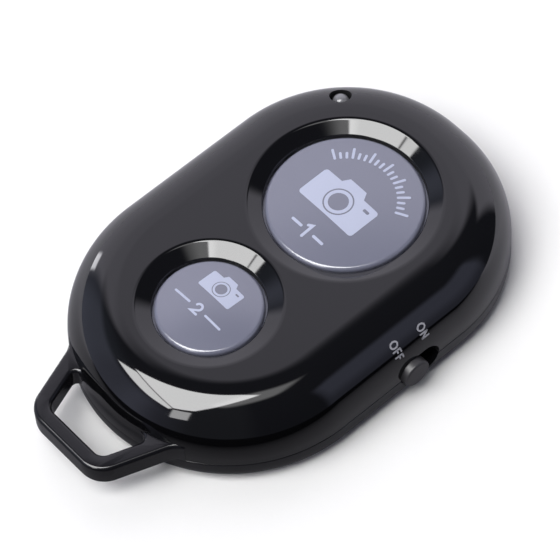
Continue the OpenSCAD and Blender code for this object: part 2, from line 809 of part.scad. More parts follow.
module coin_cell_gasket() color([0.2, 0.2, 0.2]) translate([cell_x, 0, cell_z + can_t]) {
    difference() {
        cylinder(r = cell_r - can_t, h = can_h - can_t + seal_rise);
        translate([0, 0, -cut]) cylinder(r = cell_r - can_t - seal_t, h = can_h + 2 * cut);
    }
}

module coin_cell_cap() color(nickel) translate([cell_x, 0, cell_z]) {
    r = cell_r - can_t - seal_t;
    cylinder_top = can_h - can_edge_r;
    rotate_extrude() {
        translate([0, can_t]) square([r, cylinder_top - can_t]);
        translate([0, can_t]) square([r - cap_face_inset, cell_h - can_t]);
    }
}

// Leaf against the side of the can, with a foot soldered under the board
module battery_clip_positive() color(gold) {
    x = cell_x - cell_r - clip_gap - clip_t;
    box([x, -clip_half_w, housing_top + slide_gap], [x + clip_t, clip_half_w, board_z]);
    box([x - clip_foot, -clip_half_w, board_z - clip_t], [x + clip_t, clip_half_w, board_z]);
}

// Bent leaf between the board and the top of the cell
module battery_contact_negative() color(gold) {
    low_z = cell_z + cell_h + touch_gap;
    translate([cell_x, 0, 0]) rotate([90, 0, 0])
        linear_extrude(2 * contact_half_w, center = true)
            polygon([
                [-contact_l / 2, board_z], [-contact_l / 2, board_z - contact_t],
                [0, board_z - contact_t], [contact_l / 2 - contact_tip, low_z],
                [contact_l / 2, low_z + contact_t], [contact_l / 2 - contact_t, low_z + 2 * contact_t],
                [contact_l / 2 - contact_tip, low_z + contact_t], [contact_tip, board_z]
            ]);
}

top_shell();
bottom_shell();
battery_door();
case_screws();
large_button_cap();
small_button_cap();
large_switch_base();
large_switch_cover();
large_switch_plunger();
large_switch_legs();
small_switch_base();
small_switch_cover();
small_switch_plunger();
small_switch_legs();
power_switch_knob();
power_switch_actuator();
power_switch_case();
power_switch_base();
power_switch_terminals();
circuit_board();
bluetooth_chip();
memory_chip();
crystal();
chip_capacitors();
chip_resistors();
antenna_trace();
light_lens();
light_leads();
coin_cell_can();
coin_cell_gasket();
coin_cell_cap();
battery_clip_positive();
battery_contact_negative();
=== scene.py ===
"""Looks of the pocket shutter remote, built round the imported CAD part. Lengths below are in millimetres."""

import math

import bpy
import numpy as np
from mathutils import Matrix, Vector, geometry

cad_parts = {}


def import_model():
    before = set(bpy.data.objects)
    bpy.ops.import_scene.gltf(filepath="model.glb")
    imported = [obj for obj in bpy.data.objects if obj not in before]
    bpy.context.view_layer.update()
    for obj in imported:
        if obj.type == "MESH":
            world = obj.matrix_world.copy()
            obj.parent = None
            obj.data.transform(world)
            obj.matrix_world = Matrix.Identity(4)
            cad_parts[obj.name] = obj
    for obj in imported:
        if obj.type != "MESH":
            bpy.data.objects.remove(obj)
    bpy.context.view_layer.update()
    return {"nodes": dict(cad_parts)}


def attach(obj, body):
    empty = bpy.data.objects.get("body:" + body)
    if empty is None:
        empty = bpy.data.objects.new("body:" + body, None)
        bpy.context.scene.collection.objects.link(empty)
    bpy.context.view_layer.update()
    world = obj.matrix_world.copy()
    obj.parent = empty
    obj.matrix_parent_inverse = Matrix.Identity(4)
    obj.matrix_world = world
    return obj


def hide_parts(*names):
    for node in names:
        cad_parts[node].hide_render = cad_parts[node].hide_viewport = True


MM = 0.001
TINY = 1e-9
CUT = 0.5  # how far a cutter reaches past what it cuts

# Sizes of the case, as in the CAD source
CASE_L, CASE_H = 52.0, 10.5
HALF_W = 17.85
NOSE_R = 17.2
PARTING_Z = 3.3
SHOULDER_R, FOOT_R = 6.2, 2.2
WALL, ROOF_T, FLOOR_T = 1.4, 1.6, 1.1
LIP_T, LIP_H, LIP_BITE = 0.8, 1.0, 0.35
SLIDE_GAP, TOUCH_GAP, SKIN_GAP = 0.1, 0.05, 0.02
TAIL_CX = HALF_W - CASE_L / 2
NOSE_CX = CASE_L / 2 - NOSE_R
NOSE_CY = HALF_W - NOSE_R
ROOF_Z = CASE_H - ROOF_T

# Caps, with a higher crown than in the CAD source on a rim at the same height
LARGE_X, LARGE_R, LARGE_DISH = 8.4, 8.75, 10.7
SMALL_X, SMALL_R, SMALL_DISH = -11.1, 5.95, 8.05
DISHES = ((LARGE_X, LARGE_R, LARGE_DISH), (SMALL_X, SMALL_R, SMALL_DISH))
DISH_DEPTH, CAP_GAP = 0.9, 0.25
CAP_TOP = CASE_H - 0.2
CAP_CROWN, CAP_EDGE_R = 0.5, 0.5
CAP_WALL, CAP_STEM_R = 0.85, 1.6
CAP_PLATE_T, CAP_FLANGE_W, CAP_FLANGE_T = 1.25, 0.7, 0.65
RIBS, RIB_HALF, RIB_BITE = 3, 0.4, 0.05
KEY_W, KEY_L = 1.2, 1.5

# Slide switch, as in the CAD source
SWITCH_X, SWITCH_TRAVEL = 2.7, 2.0
KNOB_R, KNOB_Z, KNOB_PROUD = 1.7, 3.75, 0.8
KNOB_X = SWITCH_X - SWITCH_TRAVEL / 2
SLOT_R = KNOB_R + SLIDE_GAP
SLOT_OUT, SLOT_IN = 1.0, 2.5  # reach of the slot's cutter past the side and into the case
SHUTTER_Y = HALF_W - WALL - 0.35
SHUTTER_T, SHUTTER_HALF_L, SHUTTER_HALF_H = 0.6, KNOB_R + SWITCH_TRAVEL + 0.2, KNOB_R + 0.35
ACTUATOR_HALF, SOCKET_DEPTH = 0.65, 0.45

# Hole of the indicator light, as in the CAD source
LIGHT_R, LIGHT_GAP = 1.0, 0.25
LIGHT_ANGLE, LIGHT_INSET = 49.5, 3.8
LIGHT_X = NOSE_CX + (NOSE_R - LIGHT_INSET) * math.cos(math.radians(LIGHT_ANGLE))
LIGHT_Y = NOSE_CY + (NOSE_R - LIGHT_INSET) * math.sin(math.radians(LIGHT_ANGLE))

# Board, bay, door, screws and posts, as in the CAD source
BOARD_Z, BOARD_T, BOARD_GAP = 5.0, 0.8, 0.7
BOARD_TOP = BOARD_Z + BOARD_T
TACT_TOP = BOARD_TOP + 1.2 + 0.25 + 0.6  # base, cover and plunger of a switch on the board
BAY_R, BAY_WALL, BAY_DROP, CELL_X = 10.2, 1.0, 0.3, 5.0
DOOR_T, DOOR_HALF, TONGUE_W = 1.05, 11.5, 0.8
DOOR_X0 = CELL_X - BAY_R - BAY_WALL
DOOR_GAP_Z = DOOR_T + SLIDE_GAP
HOUSING_T, HOUSING_W, DOOR_LIP_T = 0.8, 1.0, 0.5
HOUSING_TOP = DOOR_GAP_Z + HOUSING_T
CLIP_WINDOW_HALF = 2.7
SCREW_X, SCREW_Y = CASE_L / 2 - 6.7, 6.5
SCREW_HEAD_R, SCREW_HEAD_H, SCREW_SHANK_R, BOSS_R = 1.35, 1.05, 0.7, 2.2
POST_R, POST_INSET, PIN_R, PIN_H = 1.6, 3.0, 0.6, 0.5
POST_REACH = HALF_W - WALL - BOARD_GAP - POST_INSET
POST_X = TAIL_CX - POST_REACH * math.cos(math.radians(45))
POST_Y = POST_REACH * math.sin(math.radians(45))

# Lanyard loop, as in the CAD source
LOOP_TIP_X = -CASE_L / 2 - 6.2
LOOP_HALF, LOOP_BAR_W, LOOP_BAR_H, LOOP_TOP = 3.3, 1.9, 2.8, 5.9
LOOP_Z = LOOP_TOP - LOOP_BAR_H
LOOP_CORNER_R, LOOP_ARM, LOOP_FLARE_R, LOOP_INNER_R = 3.2, 20.0, 3.0, 0.7

# Soft edges and a hairline, which are only here
FILLET_R = 1.0  # between a dish and the top
HOLE_EDGE = 0.12
TOP_EDGE_R, BOTTOM_EDGE_R = 0.14, 0.12  # along the joint
LOOP_EDGE_R, KNOB_EDGE_R = 0.45, 0.28
NOTCH_GAP = 0.03  # round the wall that carries the loop

# Extra rings of the top shell: on the joint's face, and round the side below the shoulder
JOINT_RING, SIDE_RING = 0.25, 0.35

# Points on a full circle
DISH_POINTS, CAP_POINTS, SMALL_POINTS, ROD_POINTS = 256, 192, 128, 96


# Mesh helpers
def link(obj):
    bpy.context.scene.collection.objects.link(obj)
    return obj


def mesh_object(name, verts, faces, materials=(), index=None, smooth=True):
    """Object from millimetre vertices."""
    me = bpy.data.meshes.new(name)
    me.from_pydata([tuple(float(c) * MM for c in v) for v in verts], [], [tuple(f) for f in faces])
    for m in materials:
        me.materials.append(m)
    if index is not None:
        me.polygons.foreach_set("material_index", np.array(index, dtype=np.int32))
    me.polygons.foreach_set("use_smooth", np.full(len(me.polygons), smooth))
    me.update()
    return link(bpy.data.objects.new(name, me))


def wear(obj, material):
    """Gives an object one material alone."""
    obj.data.materials.clear()
    obj.data.materials.append(material)


def arc_points(cx, cy, r, start, end, steps):
    """Points of an arc between two directions in degrees."""
    turns = [math.radians(start + (end - start) * i / steps) for i in range(steps + 1)]
    return [(cx + r * math.cos(a), cy + r * math.sin(a)) for a in turns]


def circle(cx, cy, r, n=48):
    return arc_points(cx, cy, r, 0, 360, n)[:-1]


def round_foot(r, steps, low=0.0):
    """(inset, z) up a quarter round, from the flat at low to the side."""
    turns = [math.pi / 2 * i / steps for i in range(steps + 1)]
    return [(r * (1 - math.sin(a)), low + r * (1 - math.cos(a))) for a in turns]


def round_head(r, steps, top):
    """(inset, z) up a quarter round, from the side to the flat at top."""
    return [(inset, top - down) for inset, down in reversed(round_foot(r, steps))]


def stations(fine=1.0):
    """Places round the plan: (centre x, centre y, radius, direction)."""
    out = []

    def turn(cx, cy, r, start, end, n):
        for i in range(n):
            out.append((cx, cy, r, math.radians(start + (end - start) * i / n)))

    def side(x0, x1, direction, n):
        for i in range(n):
            out.append((x0 + (x1 - x0) * i / n, 0, HALF_W, math.radians(direction)))

    n_tail, n_side, n_nose = int(144 * fine), int(24 * fine), int(76 * fine)
    turn(TAIL_CX, 0, HALF_W, 90, 270, n_tail)
    side(TAIL_CX, NOSE_CX, 270, n_side)
    turn(NOSE_CX, -NOSE_CY, NOSE_R, 270, 360, n_nose)
    out += [(NOSE_CX, -NOSE_CY, NOSE_R, 0.0), (NOSE_CX, 0.0, NOSE_R, 0.0)]
    turn(NOSE_CX, NOSE_CY, NOSE_R, 0, 90, n_nose)
    side(NOSE_CX, TAIL_CX, 90, n_side)
    return out


def ring(places, inset, z):
    return [(cx + (r - inset) * math.cos(a), cy + (r - inset) * math.sin(a), z) for cx, cy, r, a in places]


def band(a, b, n):
    """Faces between two rings of n points, whose first points have the numbers a and b."""
    return [(a + i, a + (i + 1) % n, b + (i + 1) % n, b + i) for i in range(n)]


def sweep(name, profile, close=False):
    """Solid round the plan from (inset, z), bottom to top. Its ends are capped flat, or joined by close."""
    places = stations()
    n, m = len(places), len(profile)
    verts, faces = [], []
    for inset, z in profile:
        verts += ring(places, inset, z)
    for k in range(m if close else m - 1):
        faces += band(k * n, (k + 1) % m * n, n)
    if not close:
        faces.append(tuple(range(n - 1, -1, -1)))
        faces.append(tuple(range((m - 1) * n, m * n)))
    return mesh_object(name, verts, faces)


def lathe(name, profile, x, y, n):
    """Solid of revolution about Z. profile: (r, z) from the bottom to the top; r = 0 makes a pole."""
    turns = [2 * math.pi * i / n for i in range(n)]
    verts, faces, rows = [], [], []
    for r, z in profile:
        if r <= TINY:
            rows.append([len(verts)] * n)
            verts.append((x, y, z))
        else:
            rows.append(list(range(len(verts), len(verts) + n)))
            verts += [(x + r * math.cos(a), y + r * math.sin(a), z) for a in turns]
    for a, b in zip(rows, rows[1:]):
        for i in range(n):
            j = (i + 1) % n
            face = tuple(dict.fromkeys((a[i], a[j], b[j], b[i])))
            if len(face) > 2:
                faces.append(face)
    if profile[0][0] > TINY:
        faces.append(tuple(reversed(rows[0])))
    if profile[-1][0] > TINY:
        faces.append(tuple(rows[-1]))
    return mesh_object(name, verts, faces)


def rod(name, x, y, z0, z1, r, n=ROD_POINTS):
    return lathe(name, [(r, z0), (r, z1)], x, y, n)


def box(name, low, high):
    xs, ys, zs = zip(low, high)
    verts = [(xs[i], ys[j], z) for z in zs for i, j in ((0, 0), (1, 0), (1, 1), (0, 1))]
    faces = [(3, 2, 1, 0), (4, 5, 6, 7), (0, 1, 5, 4), (1, 2, 6, 5), (2, 3, 7, 6), (3, 0, 4, 7)]
    return mesh_object(name, verts, faces)


def turning(loop):
    """Twice the area inside a flat loop, positive where it runs anticlockwise."""
    return sum(p[0] * q[1] - q[0] * p[1] for p, q in zip(loop, loop[1:] + loop[:1]))


def fill(loops, up=True):
    """Triangles between flat loops, all facing up or all down. Points are numbered through the loops."""
    flat = [q for loop in loops for q in loop]
    tris = geometry.tessellate_polygon([[Vector((q[0], q[1], 0)) for q in loop] for loop in loops])
    area = sum(turning([flat[i] for i in t]) for t in tris)
    return [tuple(t) if (area > 0) == up else tuple(reversed(t)) for t in tris]


def column(shape, z0, z1, name="column"):
    """Upright solid over a flat shape, which is an outline and its holes."""
    outline, holes = shape
    loops = [outline] + list(holes)
    flat = [q for loop in loops for q in loop]
    n = len(flat)
    verts = [(x, y, z) for z in (z0, z1) for x, y in flat]
    tris = fill(loops)
    faces = [tuple(reversed(t)) for t in tris] + [tuple(i + n for i in t) for t in tris]
    base = 0
    for k, loop in enumerate(loops):
        outward = (turning(loop) > 0) == (k == 0)
        walls = band(base, base + n, len(loop))
        faces += walls if outward else [tuple(reversed(quad)) for quad in walls]
        base += len(loop)
    return mesh_object(name, verts, faces)


def combine(target, others, operation):
    """Booleans target with each of others, which are removed."""
    for other in others:
        mod = target.modifiers.new("b", "BOOLEAN")
        mod.operation = operation
        mod.object = other
        mod.solver = "MANIFOLD"
        bpy.context.view_layer.update()
        depsgraph = bpy.context.evaluated_depsgraph_get()
        made = bpy.data.meshes.new_from_object(target.evaluated_get(depsgraph))
        target.modifiers.clear()
        old = target.data
        target.data = made
        bpy.data.meshes.remove(old)
        bpy.data.objects.remove(other)
    return target


def sharpen(obj, angle):
    """Smooth shading with sharp edges above an angle in degrees."""
    me = obj.data
    me.polygons.foreach_set("use_smooth", np.ones(len(me.polygons), dtype=bool))
    me.update()
    me.set_sharp_from_angle(angle=math.radians(angle))
    mod = obj.modifiers.new("w", "WEIGHTED_NORMAL")
    mod.keep_sharp = True
    mod.weight = 100
    return obj


# Top shell
GLOSS, INSIDE = 0, 1  # its two materials, by number


class Skin:
    """Faces built ring by ring, each with the number of its material."""

    def __init__(self):
        self.verts, self.faces, self.tags = [], [], []

    def ring(self, points):
        numbers = list(range(len(self.verts), len(self.verts) + len(points)))
        self.verts.extend(points)
        return numbers

    def join(self, a, b, tag):
        for i in range(len(a)):
            j = (i + 1) % len(a)
            self.faces.append((a[i], a[j], b[j], b[i]))
            self.tags.append(tag)

    def flat(self, loops, up, tag):
        numbers = [i for loop in loops for i in loop]
        for tri in fill([[self.verts[i][:2] for i in loop] for loop in loops], up):
            self.faces.append(tuple(numbers[i] for i in tri))
            self.tags.append(tag)


def dish_profile(cap_r, dish_r):
    """(r, z, normal r, normal z) from the plateau into the dish and down the hole."""
    hole_r = cap_r + CAP_GAP
    slope = math.atan2(DISH_DEPTH, dish_r - hole_r)
    start_r = dish_r + FILLET_R * math.tan(slope / 2)
    pts = []
    for i in range(13):
        a = slope * i / 12
        r, z = start_r - FILLET_R * math.sin(a), CASE_H - FILLET_R * (1 - math.cos(a))
        pts.append((r, z, -math.sin(a), math.cos(a)))
    cone_r, cone_z = pts[-1][:2]
    edge_r, edge_z = hole_r + HOLE_EDGE, CASE_H - DISH_DEPTH + HOLE_EDGE * math.tan(slope)
    for i in range(1, 5):
        r, z = cone_r + (edge_r - cone_r) * i / 4, cone_z + (edge_z - cone_z) * i / 4
        pts.append((r, z, -math.sin(slope), math.cos(slope)))
    for i in range(1, 7):
        a = slope + (math.pi / 2 - slope) * i / 6
        r = hole_r + HOLE_EDGE * (1 - math.sin(a)) / (1 - math.sin(slope))
        z = edge_z - HOLE_EDGE * (math.cos(slope) - math.cos(a))
        pts.append((r, z, -math.sin(a), math.cos(a)))
    pts.append((hole_r, ROOF_Z, -1.0, 0.0))
    return pts


def add_dish(skin, x, cap_r, dish_r):
    """Adds a dish and its hole; returns the first and the last ring."""
    profile = dish_profile(cap_r, dish_r)
    rings = [skin.ring([(px, py, z) for px, py in circle(x, 0, r, DISH_POINTS)]) for r, z, _, _ in profile]
    for a, b in zip(rings, rings[1:]):
        skin.join(a, b, INSIDE if b is rings[-1] else GLOSS)
    return rings[0], rings[-1]


def top_outside():
    """(inset, z) from the joint up to the flat top."""
    side = [(0.0, CASE_H - SHOULDER_R - SIDE_RING)]
    edge = round_foot(TOP_EDGE_R, 6, PARTING_Z)
    return [(TOP_EDGE_R + JOINT_RING, PARTING_Z)] + edge + side + round_head(SHOULDER_R, 64, CASE_H)


def top_inside():
    """(inset, z) from the joint up to the roof, inside."""
    spring = CASE_H - SHOULDER_R
    pts = [(WALL, PARTING_Z), (WALL, spring)]
    for i in range(1, 17):
        a = math.pi / 2 * i / 16
        inset = SHOULDER_R - (SHOULDER_R - WALL) * math.cos(a)
        pts.append((inset, spring + (ROOF_Z - spring) * math.sin(a)))
    return pts


def build_top_shell(materials):
    places = stations(1.6)
    skin = Skin()
    outside = [skin.ring(ring(places, inset, z)) for inset, z in top_outside()]
    for a, b in zip(outside, outside[1:]):
        skin.join(a, b, GLOSS)
    rims, holes = zip(*(add_dish(skin, *dish) for dish in DISHES))
    skin.flat([outside[-1], *rims], True, GLOSS)
    inside = [outside[0]] + [skin.ring(ring(places, inset, z)) for inset, z in top_inside()]
    for a, b in zip(inside, inside[1:]):
        skin.join(b, a, INSIDE)
    skin.flat([inside[-1], *holes], False, INSIDE)
    shell = mesh_object("top_shell_gloss", skin.verts, skin.faces, materials, skin.tags)
    hole_r = LIGHT_R + LIGHT_GAP
    light_hole = rod("light_hole", LIGHT_X, LIGHT_Y, BOARD_TOP, CASE_H + CUT, hole_r, SMALL_POINTS)
    cutters = [light_hole, slot_cutter(), notch_cutter()]
    for cutter in cutters:
        for m in materials:
            cutter.data.materials.append(m)
        faces = cutter.data.polygons
        faces.foreach_set("material_index", np.full(len(faces), INSIDE, dtype=np.int32))
    combine(shell, cutters, "DIFFERENCE")
    set_top_normals(shell)
    return shell


def slot_cutter():
    """Hole with round ends for the knob, through the side."""
    pts = arc_points(SWITCH_X + SWITCH_TRAVEL / 2, KNOB_Z, SLOT_R, -90, 90, 32)
    pts += arc_points(SWITCH_X - SWITCH_TRAVEL / 2, KNOB_Z, SLOT_R, 90, 270, 32)
    n = len(pts)
    verts = [(x, y, z) for y in (-HALF_W - SLOT_OUT, -HALF_W + SLOT_IN) for x, z in pts]
    faces = [tuple(range(n)), tuple(range(2 * n - 1, n - 1, -1))] + band(n, 0, n)
    return mesh_object("slot", verts, faces)


def tail_sector(name, half, r0, r1, z0, z1):
    """Piece of a pipe round the tail's centre. half: half of the angle that it spans, in degrees."""
    outline = arc_points(TAIL_CX, 0, r1, 180 - half, 180 + half, 96)
    outline += arc_points(TAIL_CX, 0, r0, 180 + half, 180 - half, 96)
    return column((outline, []), z0, z1, name)


def notch_cutter():
    """Opening in the top shell for the wall that carries the loop."""
    half = loop_path()[1] + math.degrees(NOTCH_GAP / HALF_W)
    low, high = PARTING_Z - CUT, LOOP_TOP + NOTCH_GAP
    return tail_sector("notch", half, HALF_W - WALL - CUT, HALF_W + CUT, low, high)


def plan_direction(p):
    """Outward direction in the plan at each point."""
    x, y = p[:, 0], p[:, 1]
    nose = x > NOSE_CX
    side = ~nose & (x > TAIL_CX)
    dx = x - np.clip(x, TAIL_CX, NOSE_CX)
    dy = y - np.where(nose, np.clip(y, -NOSE_CY, NOSE_CY), 0.0)
    reach = np.maximum(np.hypot(dx, dy), TINY)
    d = np.stack([dx / reach, dy / reach], 1)
    d[side] = np.stack([np.zeros(side.sum()), np.sign(y[side])], 1)
    return d


def outside_normals(p):
    """Exact normals of the joint's edge, the side, the shoulder and the flat top."""
    z = p[:, 2]
    up = np.clip((z - (CASE_H - SHOULDER_R)) / SHOULDER_R, 0, 1)
    down = np.clip((PARTING_Z + TOP_EDGE_R - z) / TOP_EDGE_R, 0, 1)
    lean = up - down
    return np.column_stack((plan_direction(p) * np.sqrt(1 - lean**2)[:, None], lean))


def put_dish_normals(exact, p, x, cap_r, dish_r):
    """Puts the exact normals of one dish in place of those that are there."""
    reach, _, lean, up = np.array(dish_profile(cap_r, dish_r)[:-1])[::-1].T
    out = p[:, :2] - (x, 0)
    dist = np.maximum(np.hypot(out[:, 0], out[:, 1]), TINY)
    inside = dist < reach[-1]
    sideways = out * (np.interp(dist, reach, lean) / dist)[:, None]
    exact[inside] = np.column_stack((sideways, np.interp(dist, reach, up)))[inside]


def corner_data(me):
    """For every corner of every face: its place in millimetres, and its face's normal and material."""
    count = len(me.polygons)
    vertex = np.zeros(len(me.loops), dtype=np.int32)
    me.loops.foreach_get("vertex_index", vertex)
    places = np.zeros(len(me.vertices) * 3)
    me.vertices.foreach_get("co", places)
    corners = np.zeros(count, dtype=np.int32)
    me.polygons.foreach_get("loop_total", corners)
    material = np.zeros(count, dtype=np.int32)
    me.polygons.foreach_get("material_index", material)
    normals = np.zeros(count * 3)
    me.polygons.foreach_get("normal", normals)
    face = np.repeat(np.arange(count), corners)
    return places.reshape(-1, 3)[vertex] / MM, normals.reshape(-1, 3)[face], material[face]


def set_top_normals(shell):
    """Exact normals on the glossy surface, flat ones on cut walls."""
    me = shell.data
    me.update()
    p, normal, material = corner_data(me)
    exact = outside_normals(p)
    for dish in DISHES:
        put_dish_normals(exact, p, *dish)
    glossy = material == GLOSS
    normal[glossy] = exact[glossy]
    normal /= np.maximum(np.linalg.norm(normal, axis=1), TINY)[:, None]
    me.polygons.foreach_set("use_smooth", np.ones(len(me.polygons), dtype=bool))
    me.normals_split_custom_set([tuple(v) for v in normal])
    me.update()


# Lanyard loop
def loop_path(shift=0.0, steps=24):
    """Outline of the loop, drawn in by shift, and half of the angle that its arms span on the case."""
    arm = math.radians(LOOP_ARM)
    tangent = LOOP_CORNER_R * math.tan(math.radians(90 - LOOP_ARM) / 2)
    corner = (LOOP_TIP_X + LOOP_CORNER_R, LOOP_HALF)
    cross = np.array([LOOP_TIP_X, LOOP_HALF + tangent])
    along, out = np.array([math.cos(arm), math.sin(arm)]), np.array([-math.sin(arm), math.cos(arm)])

    def meet(start, reach):
        """Point at a reach from the tail's centre, on the line along the arm from start."""
        w = start - np.array([TAIL_CX, 0])
        a = float(w @ along)
        return start - along * (a + math.sqrt(a * a - float(w @ w) + reach * reach))

    def direction(centre):
        return math.degrees(math.atan2(-centre[1], TAIL_CX - centre[0]))

    def in_wall(angle):
        a = math.radians(angle)
        return TAIL_CX - (HALF_W - WALL / 2) * math.cos(a), -(HALF_W - WALL / 2) * math.sin(a)

    flare = meet(cross + out * LOOP_FLARE_R, HALF_W + LOOP_FLARE_R - SLIDE_GAP)
    inner = meet(cross - out * (LOOP_BAR_W + LOOP_INNER_R), HALF_W + LOOP_INNER_R - SLIDE_GAP)
    flare_end, inner_end = direction(flare), direction(inner)
    half = arc_points(*corner, LOOP_CORNER_R - shift, 180, 90 + LOOP_ARM, steps)
    half += arc_points(*flare, LOOP_FLARE_R + shift, LOOP_ARM - 90, flare_end, steps)
    half += [in_wall(flare_end), in_wall(inner_end)]
    half += arc_points(*inner, LOOP_INNER_R + shift, inner_end, 90 + LOOP_ARM, steps)
    half += arc_points(*corner, LOOP_CORNER_R - LOOP_BAR_W + shift, 90 + LOOP_ARM, 180, steps)
    path = half + [(x, -y) for x, y in reversed(half)]
    return path[::-1], -flare_end


def rounded_loop():
    """The lanyard loop with soft upper and lower edges."""
    rows = round_foot(LOOP_EDGE_R, 6, LOOP_Z) + round_head(LOOP_EDGE_R, 6, LOOP_TOP)
    verts, faces = [], []
    for shift, z in rows:
        path = loop_path(shift, 32)[0]
        verts += [(x, y, z) for x, y in path]
    n = len(path)
    for k in range(len(rows) - 1):
        faces += band(k * n, (k + 1) * n, n)
    for base, up in ((0, False), ((len(rows) - 1) * n, True)):
        faces += [tuple(base + i for i in t) for t in fill([[v[:2] for v in verts[base:base + n]]], up)]
    return mesh_object("loop", verts, faces)


def loop_wall():
    """Part of the case's round wall that stands up in the top shell's notch and carries the loop."""
    foot = (0.01, 1.0)  # inset and height where the form that trims the wall starts
    shoulder = [(SKIN_GAP + inset, z) for inset, z in round_head(SHOULDER_R, 30, CASE_H)[:26]]
    r0, r1 = HALF_W - WALL + SKIN_GAP, HALF_W - SKIN_GAP
    wall = tail_sector("tail_wall", loop_path()[1], r0, r1, PARTING_Z - LIP_H, LOOP_TOP + SKIN_GAP)
    return combine(wall, [sweep("shoulder", [foot] + shoulder)], "INTERSECT")


# Bottom shell
def door_housing():
    """Thick floor round the door, which holds its rails."""
    housing = sweep("housing", [(WALL - LIP_BITE, FLOOR_T / 2), (WALL - LIP_BITE, HOUSING_TOP)])
    reach = DOOR_HALF + TONGUE_W + HOUSING_W
    limits = box("limits", (DOOR_X0 - TONGUE_W - HOUSING_W, -reach, 0), (CASE_L / 2, reach, HOUSING_TOP))
    return combine(housing, [limits], "INTERSECT")


def bottom_additions():
    """Housing, bay, bosses and posts with pins."""
    added = [door_housing()]
    added.append(rod("bay", CELL_X, 0, FLOOR_T / 2, BOARD_Z - BAY_DROP, BAY_R + BAY_WALL))
    for side in (-1, 1):
        added.append(rod("boss", SCREW_X, side * SCREW_Y, FLOOR_T / 2, BOARD_Z, BOSS_R))
        added.append(rod("post", POST_X, side * POST_Y, FLOOR_T / 2, BOARD_Z, POST_R))
        added.append(rod("pin", POST_X, side * POST_Y, FLOOR_T / 2, BOARD_TOP + PIN_H, PIN_R))
    return added


def bottom_cuts():
    """Ways for the door and its tongues, the cell, the clip and the screws."""
    inner, outer = DOOR_HALF + SLIDE_GAP, DOOR_HALF + TONGUE_W + SLIDE_GAP
    back, front = DOOR_X0 - SLIDE_GAP, CASE_L / 2 + CUT
    cuts = [
        box("door", (back, -inner, -CUT), (front, inner, DOOR_GAP_Z)),
        box("groove", (back - TONGUE_W, -outer, DOOR_LIP_T), (front, outer, DOOR_GAP_Z)),
        rod("bay_hole", CELL_X, 0, -CUT, CASE_H, BAY_R),
        box("clip", (DOOR_X0 - CUT, -CLIP_WINDOW_HALF, HOUSING_TOP), (CELL_X, CLIP_WINDOW_HALF, BOARD_Z)),
    ]
    head_top = DOOR_GAP_Z + SLIDE_GAP + SCREW_HEAD_H
    for side in (-1, 1):
        cuts.append(rod("head", SCREW_X, side * SCREW_Y, -CUT, head_top, SCREW_HEAD_R + SLIDE_GAP))
        cuts.append(rod("shank", SCREW_X, side * SCREW_Y, -CUT, CASE_H, SCREW_SHANK_R + SLIDE_GAP))
    return cuts


def joint_lip():
    """Lip inside the joint, which leaves the slide switch free."""
    outer, inner = WALL + SLIDE_GAP, WALL + SLIDE_GAP + LIP_T
    low, high, land = PARTING_Z - LIP_H, PARTING_Z + LIP_H, PARTING_Z - SLIDE_GAP
    section = [(inner, low), (WALL / 2, low), (WALL / 2, land), (outer, land), (outer, high), (inner, high)]
    lip = sweep("lip", section, close=True)
    span = SHUTTER_HALF_L + SWITCH_TRAVEL / 2 + CUT
    corner = (SWITCH_X - span, WALL - HALF_W, KNOB_Z - SHUTTER_HALF_H - SLIDE_GAP)
    window = box("window", corner, (SWITCH_X + span, -HALF_W / 2, CASE_H))
    return combine(lip, [window, slot_cutter()], "DIFFERENCE")


def build_bottom_shell(material):
    outside = round_foot(FOOT_R, 18) + round_head(BOTTOM_EDGE_R, 6, PARTING_Z)
    shell = sweep("bottom_shell_satin", outside)
    hollow = sweep("inside", [(WALL, FLOOR_T), (WALL, PARTING_Z + CUT)])
    combine(shell, [hollow, slot_cutter()], "DIFFERENCE")
    combine(shell, bottom_additions(), "UNION")
    combine(shell, bottom_cuts(), "DIFFERENCE")
    combine(shell, [joint_lip(), loop_wall(), rounded_loop()], "UNION")
    wear(shell, material)
    return sharpen(shell, angle=28)


# Caps and knob
def crown_profile(r, lift=0.0):
    """(radius, z) of a cap's outer skin, from the side up to the middle, and raised by lift."""
    chord = r - CAP_EDGE_R
    edge_z, edge = CAP_TOP - CAP_CROWN - CAP_EDGE_R, CAP_EDGE_R + lift
    turns = [math.radians(a) for a in range(0, 87, 6)]
    pts = [(chord + edge * math.cos(a), edge_z + edge * math.sin(a)) for a in turns]
    crown_r = (chord**2 + CAP_CROWN**2) / (2 * CAP_CROWN)
    for i in range(1, 25):
        x = chord * (1 - i / 24)
        pts.append((x, CAP_TOP - crown_r + math.sqrt((crown_r + lift) ** 2 - x * x)))
    return pts


